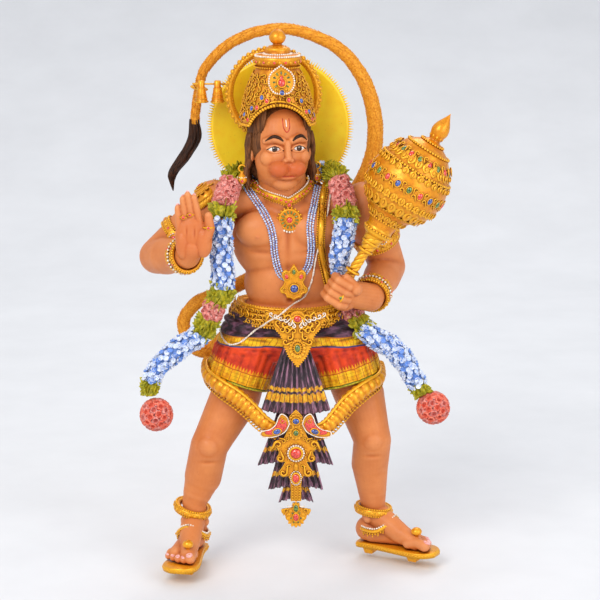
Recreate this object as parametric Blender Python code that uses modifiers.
"""A standing figurine of a mace-bearing monkey deity: cast and painted resin on steel rods,
dressed with gilt jewellery, garlands, a halo and a tail that arches over the head.

Run it with: blender --background --python part.py
The figure faces -Y and stands on Z = 0. Its own right hand is at -X.
Every length in this file is in millimetres; place() turns it into metres.
"""

import math

import bmesh
import bpy
from mathutils import Matrix, Vector
from mathutils.bvhtree import BVHTree

# ---------------------------------------------------------------- driving dimensions, millimetres
MM = 0.001
GAP = 0.4  # clearance kept between pieces that meet
BODY_Y = 8.0  # the plane through the middle of the trunk
TRUNK_X = -4.0  # middle of the chest and belly
WAIST_Z = 127.0  # where the trunk casting sits on the hip casting
NECK_Z = 190.5  # where the head sits on the trunk
HEAD_AT = (-8.0, 4.0, 210.5)
HEAD_YAW = 15.0  # degrees that the head looks to its own left
CROWN_AT = (-9.0, 4.0, 222.5)
HALO_AT = (-8.0, 28.0, 217.5)
HALO_R = 34.5
SOLE_TOP = 6.0  # height of a sandal's upper face
SOLE_THICK = 2.6
MACE_Y = -16.5
MACE_FOOT = (18.3, MACE_Y, 137.2)  # lower end of the shaft, inside the fist
MACE_LEAN = 31.3  # degrees from upright, towards +X
MACE_R = 20.0
SPIGOT_R = 2.3
ROD_R = 1.5
DOWEL_R = 2.0
SCREW_R = 1.2
BELL_PIN_R = 0.45

SHOULDER = {"right": (-40.0, 10.0, 180.0), "left": (34.0, 10.0, 179.0)}
ELBOW = {"right": (-69.5, 12.0, 154.5), "left": (46.5, 24.0, 147.0)}
WRIST = {"right": (-53.0, -17.0, 160.5), "left": (36.5, -7.0, 137.5)}
FIST_AT = (24.5, -16.5, 141.5)
HIP = {"right": (-26.0, 7.5, 103.0), "left": (25.0, 8.0, 103.0)}
THIGH = {"right": (-30.5, 5.5, 84.0), "left": (32.0, 7.0, 84.0)}
KNEE = {"right": (-43.5, -3.0, 60.5), "left": (38.5, 3.0, 62.0)}
CALF = {"right": (-47.0, 2.0, 43.0), "left": (37.5, 8.0, 48.0)}
ANKLE = {"right": (-51.5, 1.5, 30.0), "left": (39.5, 11.0, 25.0)}
FOOT_HEADING = {"right": -12.0, "left": 62.0}  # degrees from -Y towards +X
TOE_REACH = {"right": 31.0, "left": 34.0}  # from the ankle to the tip of the big toe

COLOURS = {
    "skin": ((0.70, 0.30, 0.10), 0.5, 0.0),
    "gilt": ((0.85, 0.42, 0.03), 0.35, 0.6),
    "hair": ((0.08, 0.03, 0.015), 0.6, 0.0),
    "halo": ((0.86, 0.55, 0.01), 0.5, 0.0),
    "navy": ((0.03, 0.02, 0.03), 0.6, 0.0),
    "fur": ((0.75, 0.36, 0.05), 0.7, 0.0),
    "flower": ((0.30, 0.42, 0.80), 0.8, 0.0),
    "rose": ((0.70, 0.14, 0.10), 0.8, 0.0),
    "bead": ((0.35, 0.45, 0.80), 0.3, 0.0),
    "thread": ((0.85, 0.80, 0.72), 0.7, 0.0),
    "steel": ((0.55, 0.55, 0.57), 0.3, 1.0),
}


# ---------------------------------------------------------------- scene and materials
def clear_scene():
    for obj in list(bpy.data.objects):
        bpy.data.objects.remove(obj)


def collection(name):
    made = bpy.data.collections.new(name)
    bpy.context.scene.collection.children.link(made)
    return made


def material(name):
    found = bpy.data.materials.get(name)
    if found:
        return found
    colour, roughness, metallic = COLOURS[name]
    made = bpy.data.materials.new(name)
    made.use_nodes = True
    shader = made.node_tree.nodes["Principled BSDF"]
    shader.inputs["Base Color"].default_value = (*colour, 1.0)
    shader.inputs["Roughness"].default_value = roughness
    shader.inputs["Metallic"].default_value = metallic
    return made


def place(point):
    return Vector(point) * MM


def add(name, mesh, finish, into=None):
    """A named object for a mesh whose coordinates are already in metres."""
    obj = bpy.data.objects.new(name, mesh)
    (into or PARTS).objects.link(obj)
    mesh.materials.clear()
    mesh.materials.append(material(finish))
    return obj


def node(name):
    return bpy.data.objects[name]


def baked(obj):
    """The object's evaluated mesh, in world space, as a new mesh; the object is removed."""
    bpy.context.view_layer.update()
    graph = bpy.context.evaluated_depsgraph_get()
    mesh = bpy.data.meshes.new_from_object(obj.evaluated_get(graph))
    mesh.transform(obj.matrix_world)
    bpy.data.objects.remove(obj)
    return mesh


def settle(obj):
    """Applies a mesh object's modifiers and placement, keeping the object itself."""
    bpy.context.view_layer.update()
    graph = bpy.context.evaluated_depsgraph_get()
    mesh = bpy.data.meshes.new_from_object(obj.evaluated_get(graph))
    mesh.transform(obj.matrix_world)
    obj.modifiers.clear()
    obj.data = mesh
    obj.matrix_world = Matrix()
    return obj


def welded(mesh, within=0.00001):
    form = bmesh.new()
    form.from_mesh(mesh)
    bmesh.ops.remove_doubles(form, verts=form.verts, dist=within)
    bmesh.ops.recalc_face_normals(form, faces=form.faces)
    form.to_mesh(mesh)
    form.free()
    return mesh


def is_flap(face):
    """Whether a face hangs from the skin by an edge that two other faces already share."""
    shared = [len(edge.link_faces) for edge in face.edges]
    return min(shared) == 1 and max(shared) > 2


def tidied(mesh):
    """Removes the specks and folded-over slivers that a cut leaves along its seam."""
    form = bmesh.new()
    form.from_mesh(mesh)
    bmesh.ops.triangulate(form, faces=form.faces)
    for within in (0.000004, 0.00002):
        bmesh.ops.remove_doubles(form, verts=form.verts, dist=within)
        bmesh.ops.dissolve_degenerate(form, edges=form.edges, dist=within)
        bmesh.ops.triangulate(form, faces=form.faces)
        found = {}
        for face in form.faces:
            found.setdefault(frozenset(v.index for v in face.verts), []).append(face)
        folded = [face for same in found.values() if len(same) > 1 for face in same[: len(same) // 2 * 2]]
        bmesh.ops.delete(form, geom=folded, context="FACES")
        flaps = [face for face in form.faces if is_flap(face)]
        bmesh.ops.delete(form, geom=flaps, context="FACES")
    rim = [edge for edge in form.edges if edge.is_boundary]
    bmesh.ops.holes_fill(form, edges=rim, sides=6)
    bmesh.ops.triangulate(form, faces=form.faces)
    bmesh.ops.recalc_face_normals(form, faces=form.faces)
    stray = [vert for vert in form.verts if not vert.link_faces]
    bmesh.ops.delete(form, geom=stray, context="VERTS")
    form.to_mesh(mesh)
    form.free()


# ---------------------------------------------------------------- solids
def ball(form, centre, radii, turn=None, segments=16):
    """An ellipsoid added to a bmesh; turn is a rotation matrix."""
    grow = Matrix.Diagonal((*(r * MM for r in radii), 1.0))
    matrix = Matrix.Translation(place(centre)) @ (turn or Matrix()).to_4x4() @ grow
    bmesh.ops.create_uvsphere(form, u_segments=segments, v_segments=segments // 2, radius=1.0, matrix=matrix)


def limb(form, points, radii, segments=16):
    """Tapered cones between points, with a ball at each, added to a bmesh."""
    for (a, ra), (b, rb) in zip(zip(points, radii), zip(points[1:], radii[1:])):
        start, end = place(a), place(b)
        along = end - start
        matrix = Matrix.Translation((start + end) / 2) @ along.to_track_quat("Z", "Y").to_matrix().to_4x4()
        bmesh.ops.create_cone(
            form, cap_ends=True, segments=segments, radius1=ra * MM, radius2=rb * MM,
            depth=along.length, matrix=matrix,
        )
    for point, radius in zip(points, radii):
        ball(form, point, (radius,) * 3)


def sculpt(name, finish, form, triangles, voxel=1.3, rounds=4):
    """One closed skin over every shape in the bmesh, smoothed, and thinned to about that many triangles."""
    mesh = bpy.data.meshes.new(name)
    form.to_mesh(mesh)
    form.free()
    obj = add(name, mesh, finish)
    remesh = obj.modifiers.new("skin", "REMESH")
    remesh.mode = "VOXEL"
    remesh.voxel_size = voxel * MM
    smooth = obj.modifiers.new("smooth", "SMOOTH")
    smooth.iterations = rounds
    smooth.factor = 0.5
    settle(obj)
    obj.data.calc_loop_triangles()
    thin = obj.modifiers.new("thin", "DECIMATE")
    thin.ratio = triangles / len(obj.data.loop_triangles)
    settle(obj)
    welded(obj.data)
    return obj


def tube(name, finish, points, radii, sides=8, cyclic=False):
    """A round bar through points."""
    curve = bpy.data.curves.new(name, "CURVE")
    curve.dimensions = "3D"
    curve.bevel_depth = MM
    curve.bevel_resolution = (sides - 4) // 2
    curve.use_fill_caps = not cyclic
    spline = curve.splines.new("POLY")
    spline.points.add(len(points) - 1)
    if isinstance(radii, (int, float)):
        radii = [radii] * len(points)
    for knot, point, radius in zip(spline.points, points, radii):
        knot.co = (*place(point), 1.0)
        knot.radius = radius
    spline.use_cyclic_u = cyclic
    obj = bpy.data.objects.new(name, curve)
    PARTS.objects.link(obj)
    mesh = welded(baked(obj))
    return add(name, mesh, finish)


def smooth_route(points, count):
    """count points along a Catmull-Rom curve through the given ones; extra values ride along."""
    ends = [points[0], *points, points[-1]]
    route = []
    for step in range(count):
        place_on = step * (len(points) - 1) / (count - 1)
        i = min(int(place_on), len(points) - 2)
        t = place_on - i
        a, b, c, d = (Vector(p) for p in ends[i : i + 4])
        route.append(
            0.5 * (2 * b + (c - a) * t + (2 * a - 5 * b + 4 * c - d) * t**2 + (3 * b - 3 * c + d - a) * t**3)
        )
    return route


def turned(name, finish, profile, foot, lean=0.0, steps=20):
    """A lathe form: profile is (radius, height) from the top down, stood at foot and leaned towards +X."""
    mesh = bpy.data.meshes.new(name)
    mesh.from_pydata([(r * MM, 0.0, z * MM) for r, z in profile], [(i, i + 1) for i in range(len(profile) - 1)], [])
    obj = add(name, mesh, finish)
    screw = obj.modifiers.new("turn", "SCREW")
    screw.steps = screw.render_steps = steps
    screw.use_merge_vertices = True
    screw.merge_threshold = 0.00001
    obj.location = place(foot)
    obj.rotation_euler = (0.0, math.radians(lean), 0.0)
    settle(obj)
    welded(obj.data)
    return obj


def bar(name, finish, start, end, radius, sides=12):
    """A plain round pin between two points."""
    form = bmesh.new()
    along = place(end) - place(start)
    middle = (place(end) + place(start)) / 2
    matrix = Matrix.Translation(middle) @ along.to_track_quat("Z", "Y").to_matrix().to_4x4()
    bmesh.ops.create_cone(
        form, cap_ends=True, segments=sides, radius1=radius * MM, radius2=radius * MM,
        depth=along.length, matrix=matrix,
    )
    mesh = bpy.data.meshes.new(name)
    form.to_mesh(mesh)
    form.free()
    return add(name, mesh, finish)


def ring(name, finish, centre, axis, radius, thick, around=16, sides=6, squash=(1.0, 1.0, 1.0)):
    """A bangle: a torus round an axis."""
    bpy.ops.mesh.primitive_torus_add(
        major_segments=around, minor_segments=sides, major_radius=radius * MM, minor_radius=thick * MM
    )
    obj = bpy.context.object
    mesh = obj.data
    turn = Vector(axis).to_track_quat("Z", "Y").to_matrix().to_4x4()
    mesh.transform(Matrix.Translation(place(centre)) @ turn @ Matrix.Diagonal((*squash, 1.0)))
    mesh = mesh.copy()
    bpy.data.objects.remove(obj)
    return add(name, mesh, finish)


def plate(name, finish, outline, thick, matrix):
    """A flat outline, in millimetres, given a thickness and stood in place by a matrix in metres."""
    curve = bpy.data.curves.new(name, "CURVE")
    curve.dimensions = "2D"
    curve.fill_mode = "BOTH"
    curve.extrude = thick * MM / 2
    spline = curve.splines.new("POLY")
    spline.points.add(len(outline) - 1)
    for knot, (x, y) in zip(spline.points, outline):
        knot.co = (x * MM, y * MM, 0.0, 1.0)
    spline.use_cyclic_u = True
    obj = bpy.data.objects.new(name, curve)
    PARTS.objects.link(obj)
    mesh = welded(baked(obj))
    mesh.transform(matrix)
    return add(name, mesh, finish)


def facing_front(centre, tilt=0.0, yaw=0.0):
    """Stands a flat outline upright at centre, its face towards -Y, tilted back by some degrees."""
    turn = Matrix.Rotation(math.radians(yaw), 4, "Z") @ Matrix.Rotation(math.radians(90.0 + tilt), 4, "X")
    return Matrix.Translation(place(centre)) @ turn


# ---------------------------------------------------------------- fitting pieces to each other
def boolean(obj, cutter, operation="DIFFERENCE"):
    modifier = obj.modifiers.new(operation.lower(), "BOOLEAN")
    modifier.operation = operation
    modifier.solver = "EXACT"
    modifier.use_self = True
    modifier.object = cutter
    settle(obj)
    tidied(obj.data)
    return obj


def grown(obj, by=GAP):
    """A copy whose surface stands off by a distance; it is a cutter."""
    mesh = obj.data.copy()
    normals = [v.normal.copy() for v in mesh.vertices]
    for vertex, normal in zip(mesh.vertices, normals):
        vertex.co += normal * by * MM
    cutter = add("cutter_" + obj.name, mesh, obj.data.materials[0].name, CUTTERS)
    cutter.hide_render = True
    cutter.display_type = "WIRE"
    return cutter


def extent(faces):
    """The surface area of some faces."""
    return sum(face.calc_area() for face in faces)


def largest_body(obj):
    """Drops the slivers that a cut can leave beside the main body."""
    form = bmesh.new()
    form.from_mesh(obj.data)
    left, bodies = set(form.faces), []
    while left:
        stack, body = [left.pop()], []
        while stack:
            face = stack.pop()
            body.append(face)
            for edge in face.edges:
                for other in edge.link_faces:
                    if len(edge.link_faces) == 2 and other in left:
                        left.discard(other)
                        stack.append(other)
        bodies.append(body)
    bodies.sort(key=extent)
    loose = [face for body in bodies[:-1] for face in body]
    bmesh.ops.delete(form, geom=loose, context="FACES")
    form.to_mesh(obj.data)
    form.free()
    return obj


def box_of(obj):
    spots = [v.co for v in obj.data.vertices]
    return [min(c[i] for c in spots) for i in range(3)], [max(c[i] for c in spots) for i in range(3)]


def boxes_meet(a, b):
    (a_low, a_high), (b_low, b_high) = box_of(a), box_of(b)
    return all(a_low[i] < b_high[i] and b_low[i] < a_high[i] for i in range(3))


def clear_of(obj, *others, by=GAP):
    """Cuts the pieces that obj would run into away from it, with clearance."""
    for other in others:
        cutter = grown(other, by)
        if boxes_meet(obj, cutter):
            boolean(obj, cutter)
            largest_body(obj)
        bpy.data.objects.remove(cutter)
    return obj


def fit(name, *others):
    """clear_of, by node names."""
    return clear_of(node(name), *(node(other) for other in others))


def joined(obj, *others):
    """Makes one casting of several overlapping forms."""
    for other in others:
        boolean(obj, other, "UNION")
        bpy.data.objects.remove(other)
    return largest_body(obj)


def bored(obj, start, end, radius):
    """A round hole through obj between two points, with clearance for a pin of that radius."""
    cutter = bar("cutter_bore", "steel", start, end, radius + 0.3, sides=12)
    boolean(obj, cutter)
    bpy.data.objects.remove(cutter)
    return obj


def trimmed(obj, at, normal):
    """Cuts away what lies beyond a plane, on the side its normal points to."""
    form = bmesh.new()
    form.from_mesh(obj.data)
    bmesh.ops.bisect_plane(
        form, geom=[*form.verts, *form.edges, *form.faces], plane_co=place(at),
        plane_no=Vector(normal), clear_outer=True, dist=0.000001,
    )
    rim = [edge for edge in form.edges if edge.is_boundary]
    bmesh.ops.edgeloop_fill(form, edges=rim)
    bmesh.ops.recalc_face_normals(form, faces=form.faces)
    form.to_mesh(obj.data)
    form.free()
    return obj


def surface_of(*objects):
    form = bmesh.new()
    for obj in objects:
        form.from_mesh(obj.data)
    tree = BVHTree.FromBMesh(form)
    form.free()
    return tree


def on_front(tree, x, z, off, fallback_y=BODY_Y):
    """The point in front of a surface at (x, z), standing off along the surface's normal."""
    hit, normal, _, _ = tree.ray_cast(place((x, -80.0, z)), Vector((0.0, 1.0, 0.0)))
    if hit is None:
        return Vector((x, fallback_y, z))
    return hit / MM + normal * off


# ---------------------------------------------------------------- the body
def make_trunk():
    form = bmesh.new()
    x = TRUNK_X
    ball(form, (x + 3, BODY_Y, 127), (26, 14, 13))
    ball(form, (x + 1, BODY_Y - 0.5, 142), (23, 14, 18))
    ball(form, (x, BODY_Y + 1, 163.5), (28, 15, 24))
    for side in (-1, 1):
        ball(form, (x + side * 12.5, BODY_Y - 8, 170), (13.5, 8, 9.5))
    limb(form, [(x - 29, 11, 183), (x + 29, 11, 182)], [8.5, 8.5])
    ball(form, (x - 1, 13, 187), (20, 8, 8.5))
    limb(form, [(x - 1, 10, 179), (x - 2, BODY_Y, 195)], [12, 11.5])
    trunk = sculpt("trunk", "skin", form, 560)
    trunk = trimmed(trunk, (0, 0, WAIST_Z), (0, 0, -1))
    return trimmed(trunk, (0, 0, NECK_Z), (0, 0, 1))


def head_point(point):
    """A point on the head, given from its centre with the face towards -Y, in the figure's frame."""
    return Matrix.Rotation(math.radians(HEAD_YAW), 3, "Z") @ Vector(point) + Vector(HEAD_AT)


def make_head():
    form = bmesh.new()
    turn = Matrix.Rotation(math.radians(HEAD_YAW), 3, "Z")
    for centre, radii in (
        ((0, 0.5, 4.5), (15, 15.5, 19)),
        ((0, -4, -5), (13.5, 12.5, 16)),
        ((0, -12.5, -9), (9.5, 7.5, 6.5)),
        ((0, -9, -16), (7, 6, 4.5)),
        ((0, -2, -13), (11.5, 10, 7)),
        ((15, 1, -3), (2.2, 4, 6)),
        ((-15, 1, -3), (2.2, 4, 6)),
    ):
        ball(form, head_point(centre), radii, turn)
    limb(form, [head_point((0, 1, -12)), (TRUNK_X - 2, BODY_Y, 187)], [11, 11.5])
    head = sculpt("head", "skin", form, 480, voxel=1.1)
    return trimmed(head, (0, 0, NECK_Z + GAP), (0, 0, -1))


SKULL = (0, 1.0, 5.0)  # the hollow inside the crown, from the head's centre
SKULL_R = (16.9, 16.8, 20.4)


def make_hair():
    form = bmesh.new()
    turn = Matrix.Rotation(math.radians(HEAD_YAW), 3, "Z")
    ball(form, head_point((0, 2.5, 4)), (16.2, 14.5, 18.5), turn)
    for side in (-1, 1):
        lock = [head_point((side * reach, y, z)) for reach, y, z in ((12, 6, -4), (15, 7, -10), (16, 6, -15))]
        limb(form, lock, [6.8, 6.0, 4.5])
    ball(form, head_point((0, 8, -9)), (14.5, 5, 12), turn)
    return sculpt("hair", "hair", form, 260)


def make_arm(side):
    shoulder, elbow, wrist = (Vector(p[side]) for p in (SHOULDER, ELBOW, WRIST))
    form = bmesh.new()
    limb(
        form,
        [shoulder, shoulder.lerp(elbow, 0.5), elbow, elbow.lerp(wrist, 0.4), wrist],
        [11.3, 10.2, 8.9, 9.2, 6.8],
    )
    return sculpt(side + "_arm", "skin", form, 280)


def make_open_hand():
    """The raised hand, palm to the front, fingers together."""
    wrist = Vector(WRIST["right"])
    form = bmesh.new()
    palm = wrist + Vector((3.0, -5.5, 9.5))
    limb(form, [wrist + Vector((0.5, -1.5, 0.5)), wrist + Vector((1.5, -4.5, 3.5))], [6.6, 6.0])
    ball(form, palm, (8.6, 3.6, 10.5))
    ball(form, palm + Vector((5.5, -1.2, -2.0)), (4.2, 3.4, 7.5))
    fingers = ((-6.0, -7.0, 16.4, 1.8), (-2.6, -4.4, 20.9, 1.95), (0.9, -2.2, 22.9, 2.0), (4.4, 0.9, 21.4, 1.95))
    for base_x, tip_x, tip_z, radius in fingers:
        limb(form, [palm + Vector((base_x, 0.2, 4)), palm + Vector((tip_x, 0.6, tip_z))], [radius + 0.3, radius])
    thumb = [palm + Vector(p) for p in ((6, -1.5, -1), (8.6, -1.6, 5), (7.9, -1.2, 11.5))]
    limb(form, thumb, [3, 2.5, 2.0])
    return sculpt("right_hand", "skin", form, 460, voxel=0.8, rounds=2)


def mace_point(distance):
    """A point on the mace's axis, a distance up from the shaft's lower end."""
    lean = math.radians(MACE_LEAN)
    return Vector(MACE_FOOT) + Vector((math.sin(lean), 0.0, math.cos(lean))) * distance


def make_fist():
    """The hand at the hip, closed round the mace's shaft."""
    wrist, fist = Vector(WRIST["left"]), Vector(FIST_AT)
    form = bmesh.new()
    limb(form, [wrist, wrist.lerp(fist, 0.55), fist], [6.9, 7.2, 6.6])
    ball(form, fist + Vector((-1, 1, 0)), (8, 7, 9))
    for level in range(4):
        middle = mace_point(1.2 + 3.4 * level)
        out = Vector((-0.86, 0.0, 0.52))
        finger = [middle + Vector((2, -6, -1)), middle + out * 4 + Vector((0, -5.2, 0)), middle + out * 6]
        limb(form, finger, [2.1, 2.1, 2.0])
    thumb = [mace_point(12.5) + Vector((2.5, -4.5, -1)), mace_point(15) + Vector((-1.5, -4.2, 0))]
    limb(form, [fist + Vector((5, -5, 3)), *thumb], [2.8, 2.3, 2.0])
    return sculpt("left_hand", "skin", form, 440, voxel=0.9, rounds=2)


def foot_point(side, forward, sideways, z):
    """A point on a foot: forward from the ankle, sideways to the figure's left, at a height."""
    heading = math.radians(FOOT_HEADING[side])
    ahead = Vector((math.sin(heading), -math.cos(heading), 0.0))
    across = Vector((math.cos(heading), math.sin(heading), 0.0))
    at = Vector(ANKLE[side]) + ahead * forward + across * sideways
    return Vector((at.x, at.y, z))


def make_leg(side):
    knee, ankle = Vector(KNEE[side]), Vector(ANKLE[side])
    form = bmesh.new()
    limb(form, [HIP[side], THIGH[side], knee, CALF[side], ankle], [13.4, 12.5, 9.7, 9.6, 6.1])
    base = SOLE_TOP + GAP
    inner = 1 if side == "right" else -1
    limb(form, [ankle, foot_point(side, -3, 0, base + 6)], [6.2, 6.4])
    instep = [foot_point(side, 3, 0, 20), foot_point(side, 16, inner * 1.5, base + 6.5)]
    limb(form, [*instep, foot_point(side, 25, inner * 3, base + 3.5)], [6.2, 5.2, 3.9])
    limb(form, [foot_point(side, 0, 0, base + 5), foot_point(side, 22, -inner * 3.5, base + 3)], [6.0, 3.9])
    for toe in range(5):
        shift = inner * (4.8 - 3.1 * toe)
        radius = 3.0 if toe == 0 else 2.3 - 0.12 * toe
        reach = TOE_REACH[side] - 0.9 * toe - 1.2 * max(0, toe - 2)
        root = foot_point(side, 22, shift * 0.9, base + 3.0)
        limb(form, [root, foot_point(side, reach, shift, base + radius)], [radius + 0.8, radius])
    leg = sculpt(side + "_leg", "skin", form, 560, voxel=1.1, rounds=3)
    return trimmed(leg, (0, 0, base), (0, 0, -1))


def make_hips():
    """The hip casting, modelled as short drawers with a wide hem round each thigh."""
    form = bmesh.new()
    ball(form, (-0.5, BODY_Y, 115), (31.5, 18.0, 16), segments=20)
    limb(form, [(-6, BODY_Y, 129), (5, BODY_Y, 129)], [16, 16])
    for start, end in (((-21, BODY_Y, 116), (-29.2, 6.5, 92.5)), ((20, BODY_Y, 116), (26.8, 7, 93.0))):
        a, b = place(start), place(end)
        along = b - a
        matrix = Matrix.Translation((a + b) / 2) @ along.to_track_quat("Z", "Y").to_matrix().to_4x4()
        bmesh.ops.create_cone(
            form, cap_ends=True, segments=24, radius1=16.6 * MM, radius2=16.4 * MM,
            depth=along.length, matrix=matrix,
        )
    hips = sculpt("drawers", "navy", form, 420, voxel=1.2, rounds=3)
    return trimmed(hips, (0, 0, WAIST_Z - GAP), (0, 0, 1))


# ---------------------------------------------------------------- tail, halo and bells
TAIL_ROUTE = (
    (-12, 20, 116, 4.2), (-30, 21.5, 115, 4.2), (-41.5, 21, 105.6, 4.0), (-46.5, 20.5, 103.9, 3.8),
    (-53, 20, 107.3, 3.6), (-57, 20.5, 119, 3.4), (-50.5, 21.5, 128.5, 3.4), (-40.5, 23.5, 132.6, 3.6),
    (-29, 28.5, 136.7, 3.8), (-6, 31.5, 150, 4.0), (15, 31.5, 166, 4.1), (30.3, 30.5, 184.3, 4.2),
    (38, 30, 200.7, 4.3), (39.8, 30, 215.1, 4.2), (38, 30, 228.8, 4.0), (33, 30, 242.1, 3.7), (23.5, 30, 254.4, 3.4),
    (11.5, 30, 261.6, 3.1), (-4, 30, 266.0, 2.9), (-19.5, 30, 264.6, 2.8), (-32.5, 30, 259, 2.7), (-41, 30, 251.8, 2.6),
    (-46.5, 30, 244.2, 2.4), (-48.5, 30, 236, 2.3), (-50, 30, 227.3, 2.3), (-50.8, 30, 218.6, 2.3),
)
TUFT_ROUTE = (
    (-50.8, 30, 219.6, 2.9), (-50.5, 30, 211.5, 3.2), (-56, 30, 201.8, 3.2), (-62.0, 30, 193.8, 2.4),
    (-62.6, 30, 189.0, 1.3), (-62.0, 30, 185.4, 0.5),
)
BELL_TIE = (-48.4, 30.0, 236.6)
BELL_PIN_AT = (18.0, 240.0)  # the pin's y and z; it runs along x
BELL_X = {"right": -46.8, "left": -38.8}
CLAPPER_DROP = 4.0  # from the bell's pin down to the clapper's pivot


def knots(route, count):
    """A route with radii, smoothed: the points and the radii apart."""
    run = smooth_route([Vector(p) for p in route], count)
    return [p[:3] for p in run], [p[3] for p in run]


def make_tail():
    tube("tail", "fur", *knots(TAIL_ROUTE, 46), sides=8)
    tube("tail_tuft", "hair", *knots(TUFT_ROUTE, 14), sides=8)
    # The tuft is a cap over the tail's bare end.
    fit("tail_tuft", "tail")


def make_halo():
    back = Vector((0, 1.0, 0))
    bar("halo_disc", "halo", Vector(HALO_AT) - back, Vector(HALO_AT) + back, HALO_R, sides=56)
    post = [(-6.5, 21.0, 178), (-6.5, 30.9, 183), (-7.5, 30.9, 198), (-8, 30.9, 207)]
    tube("halo_bracket", "steel", post, 1.5, sides=8)


def make_bell(side):
    """A small flared bell hung by its crown from the pin, with a clapper in its mouth."""
    y, z = BELL_PIN_AT
    pivot = (BELL_X[side], y, z)
    outer = [(0.0, 1.7), (1.6, 1.7), (1.7, -1.6), (2.1, -2.6), (2.4, -4.6), (2.7, -6.6), (3.7, -9.0)]
    inner = [(3.2, -9.0), (2.2, -6.4), (1.8, -4.6), (1.4, -3.4), (0.0, -3.2)]
    bell = turned(side + "_bell", "gilt", outer + inner, pivot, steps=16)
    bored(bell, Vector(pivot) - Vector((3, 0, 0)), Vector(pivot) + Vector((3, 0, 0)), BELL_PIN_R)
    profile = [(0.0, 0.3), (0.35, 0.3), (0.35, -2.6), (1.0, -3.2), (1.1, -4.0), (0.7, -4.7), (0.0, -4.9)]
    clapper_at = (BELL_X[side], y, z - CLAPPER_DROP)
    turned(side + "_clapper", "gilt", profile, clapper_at, steps=10)


def make_bell_tie():
    """A collar clamped on the tail; its arm bends forward and carries the bells like a pin."""
    x, y, z = BELL_TIE
    pin_y, pin_z = BELL_PIN_AT
    collar = ring("bell_collar", "gilt", BELL_TIE, (0.2, 0.0, 1.0), 3.4, 0.9, around=16, sides=6)
    route = [(x - 1.5, y - 2.6, z), (x - 2.6, pin_y + 1.5, pin_z), (x - 1.6, pin_y, pin_z), (-34.4, pin_y, pin_z)]
    joined(collar, tube("bell_arm", "gilt", route, BELL_PIN_R, sides=8))


# ---------------------------------------------------------------- crown and jewellery
CROWN_PROFILE = (
    (0, 46.8), (0.8, 46.0), (3.0, 44.4), (4.1, 42.0), (3.5, 40.0), (2.2, 38.6), (3.4, 37.8), (5.8, 36.6),
    (6.4, 34.0), (10.8, 33.0), (11.4, 30.2), (10.2, 27.6), (11.8, 24.2), (15.2, 16.6), (17.4, 8.0), (18.4, 0.0), (0, 0.0),
)
ARCH_R = 21.8
BROW_ARCH_R = 15.0  # the curve of the crown's lower edge over the forehead
BROW_ARCH_DOWN = 5.0  # how far that curve's centre lies below the crown's lower edge


def make_crown():
    x, y, z = CROWN_AT
    cap = turned("crown_cap", "gilt", CROWN_PROFILE, CROWN_AT, steps=20)
    brow_z = z - BROW_ARCH_DOWN
    brow = bar("cutter_brow", "gilt", (x, y - 40, brow_z), (x, y - 7, brow_z), BROW_ARCH_R, sides=24)
    boolean(cap, brow)
    bpy.data.objects.remove(brow)
    rim_points = []
    for i in range(24):
        a = 2 * math.pi * i / 24
        aside = 18.0 * math.cos(a)
        rise = math.sqrt(max(0.0, BROW_ARCH_R**2 - aside**2)) - BROW_ARCH_DOWN if math.sin(a) < 0 else 0.0
        rise = max(0.0, rise)
        rim_points.append((x + aside, y + (17.8 - 0.12 * rise) * math.sin(a), z + rise))
    joined(cap, tube("crown_rim", "gilt", rim_points, 1.6, sides=6, cyclic=True))
    form = bmesh.new()
    ball(form, head_point(SKULL), SKULL_R, Matrix.Rotation(math.radians(HEAD_YAW), 3, "Z"), segments=24)
    mesh = bpy.data.meshes.new("skull")
    form.to_mesh(mesh)
    form.free()
    skull = add("cutter_skull", mesh, "gilt")
    boolean(cap, skull)
    largest_body(cap)
    bpy.data.objects.remove(skull)
    arch_points = []
    for i in range(21):
        a = math.radians(-58 + 296 * i / 20)
        arch_points.append((x - 2.0 + ARCH_R * math.cos(a), y + 10.0, z + 13.0 + ARCH_R * math.sin(a)))
    tube("crown_arch", "gilt", arch_points, 2.0, sides=8)
    half = [(0, 7.5), (3.0, 5.6), (6.2, 2.0), (6.6, -2.4), (4.6, -6.0), (2.0, -7.5)]
    leaf = half + [(-u, v) for u, v in reversed(half[1:])]
    front = (x + 2.0, y - 16.6, z + 22.6)
    plate("crown_crest", "gilt", leaf, 2.2, facing_front(front, tilt=-18, yaw=HEAD_YAW / 2))


EAR_PIN = {"right": (-19.0, 0.0, -8.6), "left": (19.0, 0.0, -8.6)}  # from the head's centre


def make_earring(side):
    """A jewelled drop whose hook hangs in the ear lobe."""
    pivot = head_point(EAR_PIN[side])
    hook = ring(side + "_earring", "gilt", pivot - Vector((0, 0, 1.2)), (0, 1, 0), 1.7, 0.45, around=14, sides=6)
    profile = [(0.0, 3.0), (0.8, 2.9), (1.0, 2.0), (2.2, 0.2), (2.5, -1.6), (1.2, -3.2), (0.0, -3.6)]
    joined(hook, turned("ear_drop", "gilt", profile, pivot - Vector((0, 0, 5.6)), steps=12))


EARRING_SWING = (-26, -21, -16, -11, -5, 0, 6)  # degrees about X, just past the joint's range


def leave_room_to_swing(side, *names):
    """Cuts the space that an earring swings through out of its neighbours."""
    pivot = place(head_point(EAR_PIN[side]))
    still = grown(node(side + "_earring"))
    form = bmesh.new()
    for angle in EARRING_SWING:
        mesh = still.data.copy()
        turn = Matrix.Rotation(math.radians(angle), 4, "X")
        mesh.transform(Matrix.Translation(pivot) @ turn @ Matrix.Translation(-pivot))
        form.from_mesh(mesh)
    form.to_mesh(still.data)
    form.free()
    for name in names:
        if boxes_meet(node(name), still):
            boolean(node(name), still)
            largest_body(node(name))
    bpy.data.objects.remove(still)


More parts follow.
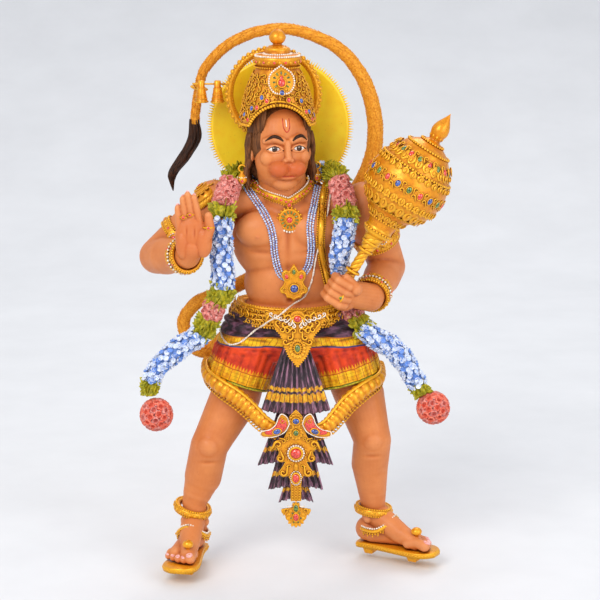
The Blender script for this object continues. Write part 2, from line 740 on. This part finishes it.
MACE_SHAFT = (
    (0, 42.6), (6.4, 42.6), (7.0, 40.0), (5.6, 37.5), (4.2, 35.0), (3.7, 32.0), (3.1, 29.5), (2.9, 18.0),
    (2.9, 14.2), (SPIGOT_R, 14.0), (SPIGOT_R, 1.0), (0, 1.0),
)
MACE_HEAD = (
    (0, 108.2), (0.9, 106.2), (3.6, 101.4), (4.3, 98.0), (3.4, 95.0), (3.0, 93.2), (4.8, 92.0), (6.4, 91.0),
    (11.0, 88.0), (13.4, 84.5), (17.2, 79.0), (19.4, 73.0), (MACE_R, 68.0), (19.0, 61.5), (16.6, 57.0),
    (11.0, 51.5), (7.6, 46.5), (6.6, 43.0), (0, 43.0),
)


def make_mace():
    """The mace in two turned pieces: a shaft with a spigot for the fist, and the jewelled head."""
    turned("mace_shaft", "gilt", MACE_SHAFT, MACE_FOOT, MACE_LEAN, steps=16)
    turned("mace_head", "gilt", MACE_HEAD, MACE_FOOT, MACE_LEAN, steps=20)


COLLAR_LINE = (
    (-25.0, 193.5), (-19.0, 189.8), (-13.0, 187.5), (-8.0, 186.0), (-3.5, 184.7), (0.5, 187.0), (4.5, 189.8), (8.8, 194.5),
)
BEAD_LINE = (
    (-26.0, 192.0), (-20.0, 184.5), (-14.0, 175.9), (-12.0, 171.0), (-11.0, 165.0), (-10.0, 156.5), (-7.8, 149.0),
    (-4.0, 147.0), (0.8, 147.4), (4.6, 150.1), (6.5, 154.7), (7.5, 163.6), (7.0, 173.4), (9.0, 182.8), (10.4, 188.5),
    (11.4, 193.5),
)
SASH_LINE = (
    (14.0, 189.5), (12.8, 182.0), (12.3, 172.9), (12.0, 163.2), (13.3, 153.3), (15.0, 145.4), (17.5, 138.0), (20.5, 132.0),
)
THREAD_LINE = ((17.0, 187.3), (15.0, 175.8), (10.0, 158.0), (8.5, 148.6), (6.5, 142.0), (3.0, 136.3), (-7.0, 132.5))


def draped(name, finish, front, line, off, radius, count, sides=6):
    """A cord laid on the front of the trunk along a line of (x, z) spots."""
    points = smooth_route([on_front(front, x, z, off) for x, z in line], count)
    return tube(name, finish, points, radius, sides=sides)


def make_chest_pieces(front):
    draped("collar", "gilt", front, COLLAR_LINE, 0.9, 2.2, 15)
    draped("bead_necklace", "bead", front, BEAD_LINE, 1.2, 1.45, 28)
    draped("shoulder_sash", "gilt", front, SASH_LINE, 0.8, 1.9, 16)
    draped("sacred_thread", "thread", front, THREAD_LINE, 0.7, 0.6, 18)
    at = on_front(front, -2.8, 175.5, 2.0)
    bar("medallion", "gilt", at + Vector((0, 0.8, 0)), at - Vector((0, 0.8, 0)), 5.6, sides=20)
    at = on_front(front, -1.0, 144.5, 4.0)
    half = [(0, 9.6), (2.4, 6.2), (5.4, 6.0), (5.8, 2.6), (4.6, 0.2), (6.6, -3.2), (4.0, -6.2), (0, -8.0)]
    leaf = half + [(-u, v) for u, v in reversed(half[1:-1])]
    plate("chest_pendant", "gilt", leaf, 2.0, facing_front(at))


# ---------------------------------------------------------------- belt and front cloth
def make_belt():
    """The broad girdle, with the point that hangs over the top of the pleats."""
    form = bmesh.new()
    for i in range(28):
        a = 2 * math.pi * i / 28
        front = max(0.0, -math.sin(a)) ** 3
        middle = (-2.0 + 28.8 * math.cos(a), BODY_Y + 17.0 * math.sin(a), 129.0 - 1.8 * front)
        turn = Matrix.Rotation(a + math.pi / 2, 3, "Z")
        ball(form, middle, (4.2, 3.2, 4.6 + 0.8 * front), turn, segments=8)
    belt = sculpt("belt", "gilt", form, 360, voxel=1.2, rounds=2)
    half = [(0.0, 8.0), (9.5, 8.0), (7.5, 0.0), (6.5, -6.0), (4.0, -10.0), (0, -13.0)]
    leaf = half + [(-u, v) for u, v in reversed(half[1:-1])]
    joined(belt, plate("belt_point", "gilt", leaf, 2.6, facing_front((1.5, -12.4, 118.0), tilt=3)))


PLEAT_STEPS = (
    (6.0, 111.0), (8.5, 103.0), (12.0, 95.5), (16.5, 84.8), (12.5, 80.2), (17.5, 70.0), (18.8, 57.0),
    (12.5, 55.0), (13.5, 45.5), (8.2, 43.4), (8.2, 37.3),
)


def make_pleats():
    """The hanging front cloth: a stepped panel of folds."""
    outline = [(-w, z) for w, z in PLEAT_STEPS] + [(w, z) for w, z in reversed(PLEAT_STEPS)]
    plate("front_pleats", "navy", outline, 5.0, facing_front((0.0, -13.4, 0.0)))


THIGH_SASH = {
    "right": (
        (-45.5, 8, 99.6, 2.4), (-43.5, -1, 96.4, 3.4), (-37.0, -9, 92.8, 4.0), (-29.0, -13, 88.3, 4.2),
        (-22.5, -16, 83.3, 4.0), (-16.0, -19.4, 77.5, 3.6), (-9.0, -20.4, 73.4, 2.8),
    ),
    "left": (
        (42.5, 8, 97.4, 2.4), (41.0, -1, 94.6, 3.4), (33.5, -9, 91.3, 4.0), (26.0, -13, 86.2, 4.2),
        (21.0, -16, 80.9, 4.0), (15.5, -19.4, 75.6, 3.6), (9.0, -20.4, 72.6, 2.8),
    ),
}
JEWEL_Y = -25.0
JEWEL_TOP = 84.7
DROP_TOP = 36.6


def make_front_jewels():
    """The long jewel pinned over the sash ends, and the drop linked below it."""
    half = [
        (0.0, 0.0), (3.4, -4.0), (3.6, -9.0), (16.0, -7.5), (17.0, -12.0), (8.2, -17.0), (8.6, -23.0), (4.0, -27.0),
        (7.5, -31.0), (2.6, -35.0), (2.4, -46.0),
    ]
    outline = half + [(-u, v) for u, v in reversed(half[1:])]
    plate("front_jewel", "gilt", outline, 2.0, facing_front((0.0, JEWEL_Y, JEWEL_TOP)))
    half = [(1.6, 0.0), (2.4, -2.4), (7.2, -3.6), (5.0, -7.6), (2.6, -10.0), (0.0, -12.4)]
    outline = half + [(-u, v) for u, v in reversed(half[:-1])]
    plate("drop_jewel", "gilt", outline, 2.0, facing_front((0.0, JEWEL_Y, DROP_TOP + 0.8)))


# ---------------------------------------------------------------- arm and ankle jewellery
def make_epaulette(side):
    sign = 1 if side == "left" else -1
    at = Vector(SHOULDER[side]) + Vector((sign * 3.0, -1.0, 4.5))
    form = bmesh.new()
    ball(form, at, (8.5, 12.5, 8.0), Matrix.Rotation(math.radians(sign * 38), 3, "Y"))
    sculpt(side + "_epaulette", "gilt", form, 180)


def limb_ring(name, start, end, share, radius, thick, tall):
    """A bangle round a limb, some share of the way along it."""
    start, end = Vector(start), Vector(end)
    ring(name, "gilt", start.lerp(end, share), end - start, radius, thick, squash=(1, 1, tall))


def make_ankle_chain(side):
    points = []
    for i in range(20):
        a = 2 * math.pi * i / 20
        rise = 6.5 * max(0.0, math.cos(a)) ** 2
        points.append(foot_point(side, 3.0 + 9.5 * math.cos(a), 7.8 * math.sin(a), 13.6 + rise))
    tube(side + "_ankle_chain", "gilt", points, 1.4, sides=6, cyclic=True)


# ---------------------------------------------------------------- garland
GARLAND = (
    (-73.0, -8.0, 88.0, 4.4), (-72.4, -8.0, 93.3, 4.7), (-70.5, -8.0, 98.5, 5.0), (-65.5, -8.0, 105.6, 5.6),
    (-55.5, -8.0, 113.3, 6.0), (-47.5, -8.5, 119.0, 5.9), (-43.0, -9.5, 127.0, 5.8), (-39.5, -10.0, 135.0, 6.0),
    (-36.0, -10.5, 144.0, 6.2), (-36.5, -11.0, 163.0, 6.4), (-36.5, -9.5, 178.0, 6.2), (-34.0, -4.0, 188.0, 6.5),
    (-31.0, 5.0, 195.0, 5.9), (-26.0, 13.0, 196.5, 4.6), (-17.5, 18.5, 193.0, 3.2), (-6.5, 21.0, 191.0, 3.0),
    (3.5, 18.5, 193.0, 3.2), (13.5, 13.5, 197.5, 4.4), (18.8, 5.5, 197.4, 5.6), (22.3, -4.0, 191.0, 6.2),
    (24.5, -9.5, 181.0, 6.2), (24.0, -10.0, 171.0, 6.0), (21.5, -9.0, 160.0, 5.6), (22.0, -6.0, 150.0, 4.8),
    (24.0, 0.0, 141.0, 4.6), (26.5, 0.0, 133.0, 4.8), (31.0, -5.0, 124.5, 5.6), (38.0, -8.0, 118.0, 5.9),
    (49.5, -8.0, 110.7, 6.1), (58.0, -8.0, 98.0, 5.6), (61.5, -8.0, 91.5, 4.8), (63.0, -8.0, 88.5, 4.4),
)
GARLAND_BALL = {"right": (-69.5, -8.0, 78.0), "left": (68.3, -8.0, 81.5)}
BALL_R = 8.6


def make_garland():
    tube("garland", "flower", *knots(GARLAND, 54), sides=8)
    for side, centre in GARLAND_BALL.items():
        form = bmesh.new()
        ball(form, centre, (BALL_R,) * 3, segments=14)
        mesh = bpy.data.meshes.new("ball")
        form.to_mesh(mesh)
        form.free()
        add(side + "_garland_ball", mesh, "rose")


# ---------------------------------------------------------------- sandals
def make_stud(side, forward, half_width):
    """A foot of the sandal, narrower where it meets the ground."""
    height = SOLE_TOP - SOLE_THICK + 0.5
    middle = foot_point(side, forward, 0, height / 2)
    heading = math.radians(FOOT_HEADING[side] - 90.0)
    size = Matrix.Diagonal((6.0 * MM, 2 * half_width * MM, height * MM, 1.0))
    form = bmesh.new()
    bmesh.ops.create_cube(form, size=1.0, matrix=size)
    for vert in form.verts:
        if vert.co.z < 0:
            vert.co.x *= 0.72
            vert.co.y *= 0.72
    form.transform(Matrix.Translation(place(middle)) @ Matrix.Rotation(heading, 4, "Z"))
    mesh = bpy.data.meshes.new("stud")
    form.to_mesh(mesh)
    form.free()
    return add("stud", mesh, "gilt")


def make_sandal(side):
    """A sandal of the old kind: a sole on two studs, with a peg that the toes hold."""
    inner = 1 if side == "right" else -1
    half = [(-8.0, 3.4), (-6.0, 5.6), (4.0, 5.8), (18.0, 8.0), (28.0, 9.0), (33.0, 7.2), (36.0, 3.4)]
    outline = half + [(x, -y) for x, y in reversed(half)]
    heading = math.radians(FOOT_HEADING[side] - 90.0)
    at = foot_point(side, 0, 0, SOLE_TOP - SOLE_THICK / 2)
    matrix = Matrix.Translation(place(at)) @ Matrix.Rotation(heading, 4, "Z")
    sole = plate(side + "_sandal", "gilt", outline, SOLE_THICK, matrix)
    profile = [(0, 12.2), (1.8, 11.6), (2.7, 10.2), (2.4, 8.8), (1.2, 8.0), (0.9, -1.0), (0, -1.0)]
    peg = turned("toe_peg", "gilt", profile, foot_point(side, 26.0, inner * 3.3, SOLE_TOP), steps=12)
    joined(sole, make_stud(side, -1.0, 4.6), make_stud(side, 24.5, 7.0), peg)


# ---------------------------------------------------------------- assembly
SIDES = ("right", "left")
LEG_RODS = {
    "right": ((-45.0, -2.5, 52.0), (-19.1, 9.2, 121.0)),
    "left": ((38.0, 4.5, 52.0), (18.5, 9.0, 121.0)),
}


def pinned(name, low, high, radius, *hosts):
    """A steel pin, with a bore a little longer than it through every piece it joins."""
    low, high = Vector(low), Vector(high)
    beyond = (high - low).normalized()
    bar(name, "steel", low, high, radius)
    for host in hosts:
        bored(node(host), low - beyond, high + beyond, radius)


def build_body():
    make_trunk()
    make_hips()
    make_head()
    for side in SIDES:
        make_leg(side)
        fit("drawers", side + "_leg")
        make_arm(side)
        fit(side + "_arm", "trunk")
    make_open_hand()
    fit("right_hand", "right_arm")
    make_mace()
    make_fist()
    fit("left_hand", "left_arm", "trunk", "drawers", "mace_shaft")
    for side, (low, high) in LEG_RODS.items():
        pinned(side + "_leg_rod", low, high, ROD_R, side + "_leg", "drawers")
    waist = Vector((TRUNK_X + 3.0, BODY_Y, WAIST_Z))
    pinned("waist_dowel", waist - Vector((0, 0, 10)), waist + Vector((0, 0, 14)), DOWEL_R, "drawers", "trunk")
    neck = Vector((TRUNK_X - 2.0, BODY_Y, NECK_Z))
    pinned("neck_dowel", neck - Vector((0, 0, 9)), neck + Vector((0, 0, 11)), DOWEL_R, "trunk", "head")


def build_head_and_back():
    make_hair()
    fit("hair", "head", "trunk")
    for side in SIDES:
        make_earring(side)
        fit(side + "_earring", "head", "hair")
        leave_room_to_swing(side, "hair")
    make_crown()
    fit("crown_arch", "crown_cap", "hair")
    fit("crown_crest", "crown_cap", "head")
    make_tail()
    fit("tail", "drawers", "trunk")
    make_halo()
    fit("halo_bracket", "trunk", "halo_disc", "tail")
    make_bell_tie()
    fit("bell_collar", "tail")
    for side in SIDES:
        make_bell(side)


def build_dress():
    make_chest_pieces(surface_of(node("trunk")))
    fit("collar", "trunk", "head", "hair")
    fit("bead_necklace", "trunk", "collar", "hair", "head")
    fit("medallion", "trunk", "bead_necklace")
    fit("chest_pendant", "trunk", "bead_necklace")
    fit("shoulder_sash", "trunk", "bead_necklace", "collar", "left_hand")
    fit("sacred_thread", "trunk", "bead_necklace", "chest_pendant", "shoulder_sash", "left_hand")
    make_belt()
    fit("belt", "trunk", "drawers", "tail", "left_hand", "shoulder_sash", "sacred_thread")
    make_pleats()
    fit("front_pleats", "drawers", "belt", "right_leg", "left_leg")
    for side in SIDES:
        route = knots(THIGH_SASH[side], 16)
        tube(side + "_thigh_sash", "gilt", *route, sides=8)
        fit(side + "_thigh_sash", "drawers", side + "_leg", "front_pleats")
    make_front_jewels()


def build_trim():
    for side in SIDES:
        make_epaulette(side)
        fit(side + "_epaulette", "trunk", side + "_arm")
    limb_ring("right_armlet", SHOULDER["right"], ELBOW["right"], 0.6, 10.0, 2.0, 1.5)
    limb_ring("left_armlet", SHOULDER["left"], ELBOW["left"], 0.5, 10.2, 2.0, 1.8)
    for side, share in (("right", 0.93), ("left", 0.86)):
        limb_ring(side + "_bangle", ELBOW[side], WRIST[side], share, 8.4, 2.2, 1.3)
        fit(side + "_armlet", side + "_arm", side + "_epaulette", "trunk")
        fit(side + "_bangle", side + "_arm", side + "_hand", "trunk", "mace_shaft")
    make_garland()
    wears = ["trunk", "head", "hair", "drawers", "belt", "collar", "bead_necklace", "shoulder_sash", "sacred_thread"]
    for side in SIDES:
        wears += [side + "_" + part for part in ("arm", "hand", "epaulette", "armlet", "bangle", "thigh_sash")]
    fit("garland", *wears, "halo_disc", "halo_bracket", "tail")
    for side in SIDES:
        fit(side + "_garland_ball", "garland", side + "_leg", side + "_thigh_sash")
        leave_room_to_swing(side, "collar", "bead_necklace", "garland")


def build_feet():
    for side in SIDES:
        ankle, knee = Vector(ANKLE[side]), Vector(KNEE[side])
        limb_ring(side + "_anklet", ankle, knee, -0.12, 8.0, 2.1, 1.0)
        fit(side + "_anklet", side + "_leg")
        make_ankle_chain(side)
        fit(side + "_ankle_chain", side + "_leg", side + "_anklet")
        make_sandal(side)
        fit(side + "_leg", side + "_sandal")
        low, high = foot_point(side, -1.0, 0, 0.6), foot_point(side, -1.0, 0, 13.0)
        pinned(side + "_sandal_screw", low, high, SCREW_R, side + "_leg", side + "_sandal")


def build():
    build_body()
    build_head_and_back()
    build_dress()
    build_trim()
    build_feet()


clear_scene()
PARTS = collection("monkey_deity_statuette")
CUTTERS = collection("cutters")
build()
